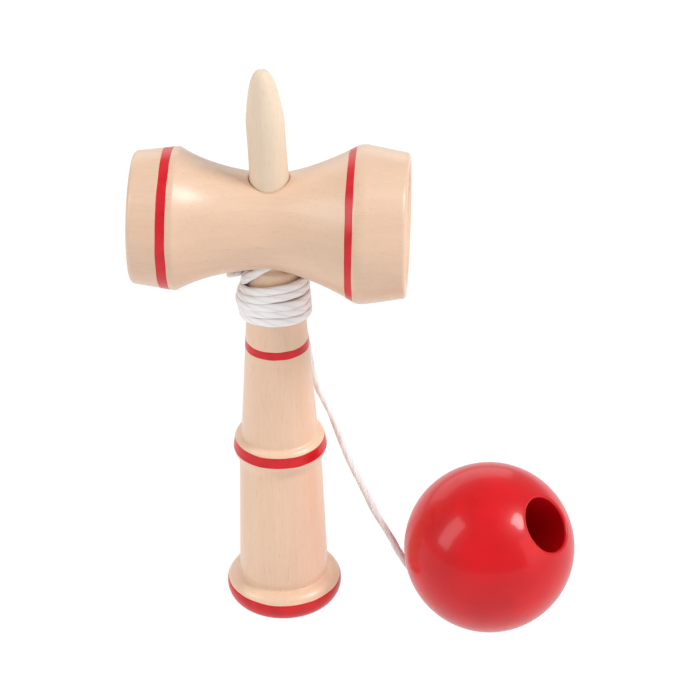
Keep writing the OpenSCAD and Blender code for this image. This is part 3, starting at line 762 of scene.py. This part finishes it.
def wound_line(step):
    """Centre line of the string on the neck, along falling angles: from the cut tail at the front left round
    the back into the rebate under the crosspiece, out of it at the front left, then six turns to the drop at
    the back right. The turns fall 1.9 mm each, lean to the left at the top and the other way at the bottom,
    stray a little, part in two places by hills exp(-t^2), and bulge at the left in the middle as
    exp(-b^2) ((1 - cos a) / 2)^2."""
    a = np.linspace(170, 82 - TURNS * 360, 1600)
    turn, rad = (-95 - a) / 360, np.radians(a)
    seam_z, seam_r = NECK_TOP[1] - 1.15, REBATE[0] + STRING_R + 0.1
    hill = lambda at, wide: np.exp(-((turn - at) / wide) ** 2)
    stray = 0.1 * np.sin(0.83 * rad + 1) + 0.07 * np.sin(1.37 * rad) \
        + 0.18 * (hill(1.85, 0.13) - hill(2.85, 0.13)) + 0.1 * (hill(4.05, 0.12) - hill(5.05, 0.12))
    turns = TURNS_TOP - TURN_FALL * turn + (1.2 - 0.29 * turn) * np.cos(rad) - 0.53 * np.sin(rad) \
        - 0.35 * np.cos(2 * rad) + stray
    z = np.where(a > -77, TAIL_Z + (seam_z - TAIL_Z) * ease((166 - a) / 100),
                 seam_z + (turns - seam_z) * ease((-77 - a) / 101))
    seam = np.where(a > 0, ease((132 - a) / 50), 1 - ease((-87 - a) / 43))
    bulge = 1.1 * np.exp(-((turn - 3.0) / 1.5) ** 2) * ((1 - np.cos(rad)) / 2) ** 2
    out = neck_at(z) + STRING_R + 0.12 + bulge
    r = out + (seam_r - out) * seam
    line = np.stack([r * np.cos(rad), r * np.sin(rad), z], 1)
    ahead = [(line[k + 1] - line[k]) / np.linalg.norm(line[k + 1] - line[k]) for k in (0, -2)]
    start = line[0] - 1.4 * ahead[0]
    end = PIVOT + (0, 0, LEAD)
    bend = start - 1.4 * ahead[0]
    tail = bezier(TAIL_END, TAIL_BEND, bend - 1.2 * ahead[0], bend)
    drop = bezier(line[-1], line[-1] + 1.8 * ahead[1], end + (0, 0, 2.84), end + (0, 0, 1.4))
    return even(np.concatenate([tail, line, drop[1:], [end]]), step)


def loose_line(step):
    """Centre line of the loose string from the drop, down past the handle and along to the ball's string
    hole."""
    axis = np.array([math.cos(BORE_TILT) * math.cos(BORE_TURN), math.cos(BORE_TILT) * math.sin(BORE_TURN),
                     math.sin(BORE_TILT)])
    drop = [PIVOT + (0, 0, LEAD), PIVOT + (0, 0, LEAD / 2), PIVOT + (0.03, 0, 0)]
    held = [BALL_C + d * axis for d in (-BALL_R - 3.4, -BALL_R - 2.3, -BALL_R - 1, -BALL_R + 3, STRING_END)]
    return spline([*drop, *LOOSE_ROUTE, *held], step)


def laid(line, outward, radius, wide=1.0, flat=0.0):
    """Laid string along a line: a bundle of round yarns whose outline turns once in each lay length. At an
    angle d from a yarn's middle the outline is q cos d + sqrt(y^2 - q^2 sin^2 d), with yarn radius y and
    offset q. outward gives each section its direction; wide presses it across that direction, and flat
    squares its face, as the cosine to the power 1 - 0.45 flat."""
    s = settings().shape
    m, q, y = 12 * s.plies, 0.13, 0.87
    ahead = np.gradient(line, axis=0)
    ahead /= np.linalg.norm(ahead, axis=1)[:, None]
    u = outward - np.sum(outward * ahead, 1)[:, None] * ahead
    u /= np.linalg.norm(u, axis=1)[:, None]
    v = np.cross(ahead, u)
    k = np.arange(m) * TAU / m
    d = (k * s.plies / TAU % 1 - 0.5) * TAU / s.plies
    outline = q * np.cos(d) + np.sqrt(y ** 2 - (q * np.sin(d)) ** 2)
    a = k + (lengths(line) * TAU / (s.lay / MM))[:, None]
    radius, wide, flat = (np.broadcast_to(x, len(line))[:, None] for x in (radius, wide, flat))
    # Soft yarn swells and thins a little along its length, in waves of 17 and 11 mm, and of 13 mm
    at = lengths(line)[:, None]
    wide = wide * (1 + 0.05 * np.sin(at * TAU / 17 + 1) + 0.04 * np.sin(at * TAU / 11 + 2))
    deep = 1 + 0.04 * np.sin(at * TAU / 13)
    face = np.sign(np.cos(a)) * np.abs(np.cos(a)) ** (1 - 0.45 * flat)
    p = line[:, None] + (radius * outline * deep * face)[..., None] * u[:, None] \
        + (radius * outline * wide * np.sin(a))[..., None] * v[:, None]
    # Painted shade: share of grey for each point, 0 on a yarn's crown and 1 down in the lay
    painted_lay_shade = np.clip((1 - outline) / (1 - outline.min()), 0, 1) ** 2
    return p, np.r_[np.tile(painted_lay_shade, len(line)), 0, 0]


def mark(piece, name, values):
    """Stores one number for each point of a piece, for its material."""
    piece.data.attributes.new(name, "FLOAT", "POINT").data.foreach_set("value", values.astype(np.float32))


class CUPBALL_OT_string(bpy.types.Operator):
    """Lay the cotton string: the winding with its cut tail, and the loose run to the ball with its knot"""
    bl_idname = "cupball.string"
    bl_label = "String"

    def execute(self, context):
        s = settings().shape
        r = s.string_d / MM / 2
        cotton = laid_cotton("laid_white_cotton", tuple(settings().colours.cotton))
        line = wound_line(STRING_STEP)
        at = lengths(line)
        # The turns lie pressed against the neck from 34 mm past the cut end to 4 mm short of the drop
        pressed = ease((at - 34) / 7) * ease((at[-1] - 4 - at) / 8)
        out = line * (1, 1, 0)
        # The cut end is rounded over by its loose fibres
        blunt = np.sqrt(1 - np.clip(1 - at / 0.9, 0, 0.98) ** 2)
        p, painted_lay_shade = laid(line, out, r * blunt, 1 + PRESSED_WIDE * pressed, pressed)
        wound = finish_piece("string_on_neck", *skin(p), "ken", ["string_tail", "string_winding"], cotton,
                             "string")
        mark(wound, "painted_lay_shade", painted_lay_shade)

        line2 = loose_line(STRING_STEP)
        p, painted_lay_shade = laid(line2, np.broadcast_to((0.3, 0.95, 0.1), line2.shape), (1 + LOOSE_SWELL) * r)
        loose = finish_piece("string_to_ball", *skin(p), None, ["string_lead", "string_run"], cotton,
                             "string")
        mark(loose, "painted_lay_shade", painted_lay_shade)
        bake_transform(loose)

        # Overhand knot as a closed trefoil: (sin t + 2 sin 2t, cos t - 2 cos 2t, -1.9 sin 3t), drawn up tight
        t = np.linspace(0, TAU, 161)[:-1]
        knot = np.stack([np.sin(t) + 2 * np.sin(2 * t), np.cos(t) - 2 * np.cos(2 * t),
                         -1.9 * np.sin(3 * t)], 1)
        knot = KNOT_SIZE * knot + (0, 0, STRING_END + 1.28)
        ahead = np.roll(knot, -1, 0) - np.roll(knot, 1, 0)
        ahead /= np.linalg.norm(ahead, axis=1)[:, None]
        u = np.cross(ahead, (0, 0, 1))
        u /= np.linalg.norm(u, axis=1)[:, None]
        v = np.cross(ahead, u)
        a = np.arange(18) * TAU / 18
        p = knot[:, None] + KNOT_R * (np.cos(a)[:, None] * u[:, None] + np.sin(a)[:, None] * v[:, None])
        tied = finish_piece("string_knot", *skin(bored(p), loop=True), "run", ["ball_knot"], cotton, "string")

        return {"FINISHED"}


class CUPBALL_OT_stage(bpy.types.Operator):
    """Set the stage: white floor, even surround, four soft lamps and the camera"""
    bl_idname = "cupball.stage"
    bl_label = "Stage"

    def execute(self, context):
        s = settings().stage
        scene = context.scene
        scene.view_settings.view_transform = "Standard"
        ahead = Vector((-math.sin(s.turn) * math.cos(s.drop), math.cos(s.turn) * math.cos(s.drop),
                        -math.sin(s.drop)))
        right = Vector((math.cos(s.turn), math.sin(s.turn), 0))
        up = right.cross(ahead)
        c, k = math.cos(s.roll), math.sin(s.roll)
        side, top = c * right + k * up, c * up - k * right
        camera = bpy.data.objects.new("camera", bpy.data.cameras.new("camera"))
        camera.matrix_world = Matrix.Translation(s.place) @ Matrix((side, top, -ahead)).transposed().to_4x4()
        camera.data.lens, camera.data.sensor_width = s.lens, 36
        scene.collection.objects.link(camera)
        scene.camera = camera

        mesh = bpy.data.meshes.new("floor")
        corners = [(-3, -3, -0.0001), (3, -3, -0.0001), (3, 3, -0.0001), (-3, 3, -0.0001)]
        mesh.from_pydata(corners, [], [(0, 1, 2, 3)])
        floor = bpy.data.objects.new("floor", mesh)
        scene.collection.objects.link(floor)
        material, tree, shader = new_material("white_paper_floor")
        wire(shader, Base_Color=(*linear("#F2F2F2"), 1), Roughness=0.9)
        ray = add(tree, "ShaderNodeLightPath").outputs
        seen = math_node(tree, "MAXIMUM", ray["Is Camera Ray"], ray["Is Glossy Ray"])
        seen = math_node(tree, "MAXIMUM", seen, ray["Is Transmission Ray"])
        share = math_node(tree, "MULTIPLY", seen, 0.92)
        glow = add(tree, "ShaderNodeEmission", Strength=1.06)
        mixed = add(tree, "ShaderNodeMixShader", i0=share, i1=shader.outputs[0], i2=glow.outputs[0])
        wire(tree.nodes["Material Output"], Surface=mixed.outputs[0])
        mesh.materials.append(material)

        world = bpy.data.worlds.new("white_surround")
        world.use_nodes = True
        scene.world = world
        tree = world.node_tree
        tree.nodes.clear()
        ray = add(tree, "ShaderNodeLightPath")
        strength = add(tree, "ShaderNodeMix", Factor=ray.outputs["Is Camera Ray"], A=s.surround, B=1.0)
        sky = add(tree, "ShaderNodeBackground", Color=(1, 1, 1, 1), Strength=strength.outputs[0])
        add(tree, "ShaderNodeOutputWorld", Surface=sky.outputs[0])

        middle = Vector((0.015, 0, 0.06))
        for name, power, way, far, wide, tall in (
                ("lamp_right", s.right_lamp, (0.64, -0.134, 0.756), 1.39, 0.42, 0.42),
                ("lamp_left", s.left_lamp, (-0.761, -0.352, 0.53), 0.8, 0.3, 0.6),
                ("lamp_back", s.back_lamp, (-0.32, 0.89, 0.36), 1.0, 1.2, 0.5),
                ("lamp_fill", s.fill_lamp, (0.9, -0.3, 0.25), 1.0, 0.6, 0.6)):
            lamp = bpy.data.objects.new(name, bpy.data.lights.new(name, "AREA"))
            lamp.data.shape, lamp.data.size, lamp.data.size_y = "RECTANGLE", wide, tall
            lamp.data.energy = power
            way = Vector(way).normalized()
            lamp.location = middle + far * way
            lamp.rotation_euler = (-way).to_track_quat("-Z", "Y").to_euler()
            scene.collection.objects.link(lamp)
        return {"FINISHED"}


STEPS = (CUPBALL_OT_stage, CUPBALL_OT_string, CUPBALL_OT_handle, CUPBALL_OT_spike, CUPBALL_OT_crosspiece,
         CUPBALL_OT_stripes, CUPBALL_OT_ball)


class CUPBALL_PT_panel(bpy.types.Panel):
    """Lists the toy's pieces in the order in which they are made"""
    bl_idname = "CUPBALL_PT_panel"
    bl_label = "Cup and Ball"
    bl_space_type = "VIEW_3D"
    bl_region_type = "UI"
    bl_category = "Cup and Ball"

    def draw(self, context):
        for step in STEPS:
            self.layout.operator(step.bl_idname)
        for group in (settings().shape, settings().colours, settings().stage):
            box = self.layout.box()
            for name in group.__annotations__:
                box.prop(group, name)


CLASSES = (ToyShape, ToyColours, ToyStage, ToySettings, *STEPS, CUPBALL_PT_panel)


def register():
    for c in CLASSES:
        bpy.utils.register_class(c)
    bpy.types.Scene.cup_and_ball = PointerProperty(type=ToySettings)


def unregister():
    del bpy.types.Scene.cup_and_ball
    for c in reversed(CLASSES):
        bpy.utils.unregister_class(c)


def main():
    """Registers the classes and makes the pieces in order."""
    register()
    for step in STEPS:
        group, name = step.bl_idname.split(".")
        getattr(getattr(bpy.ops, group), name)()


if __name__ == "__main__":
    main()
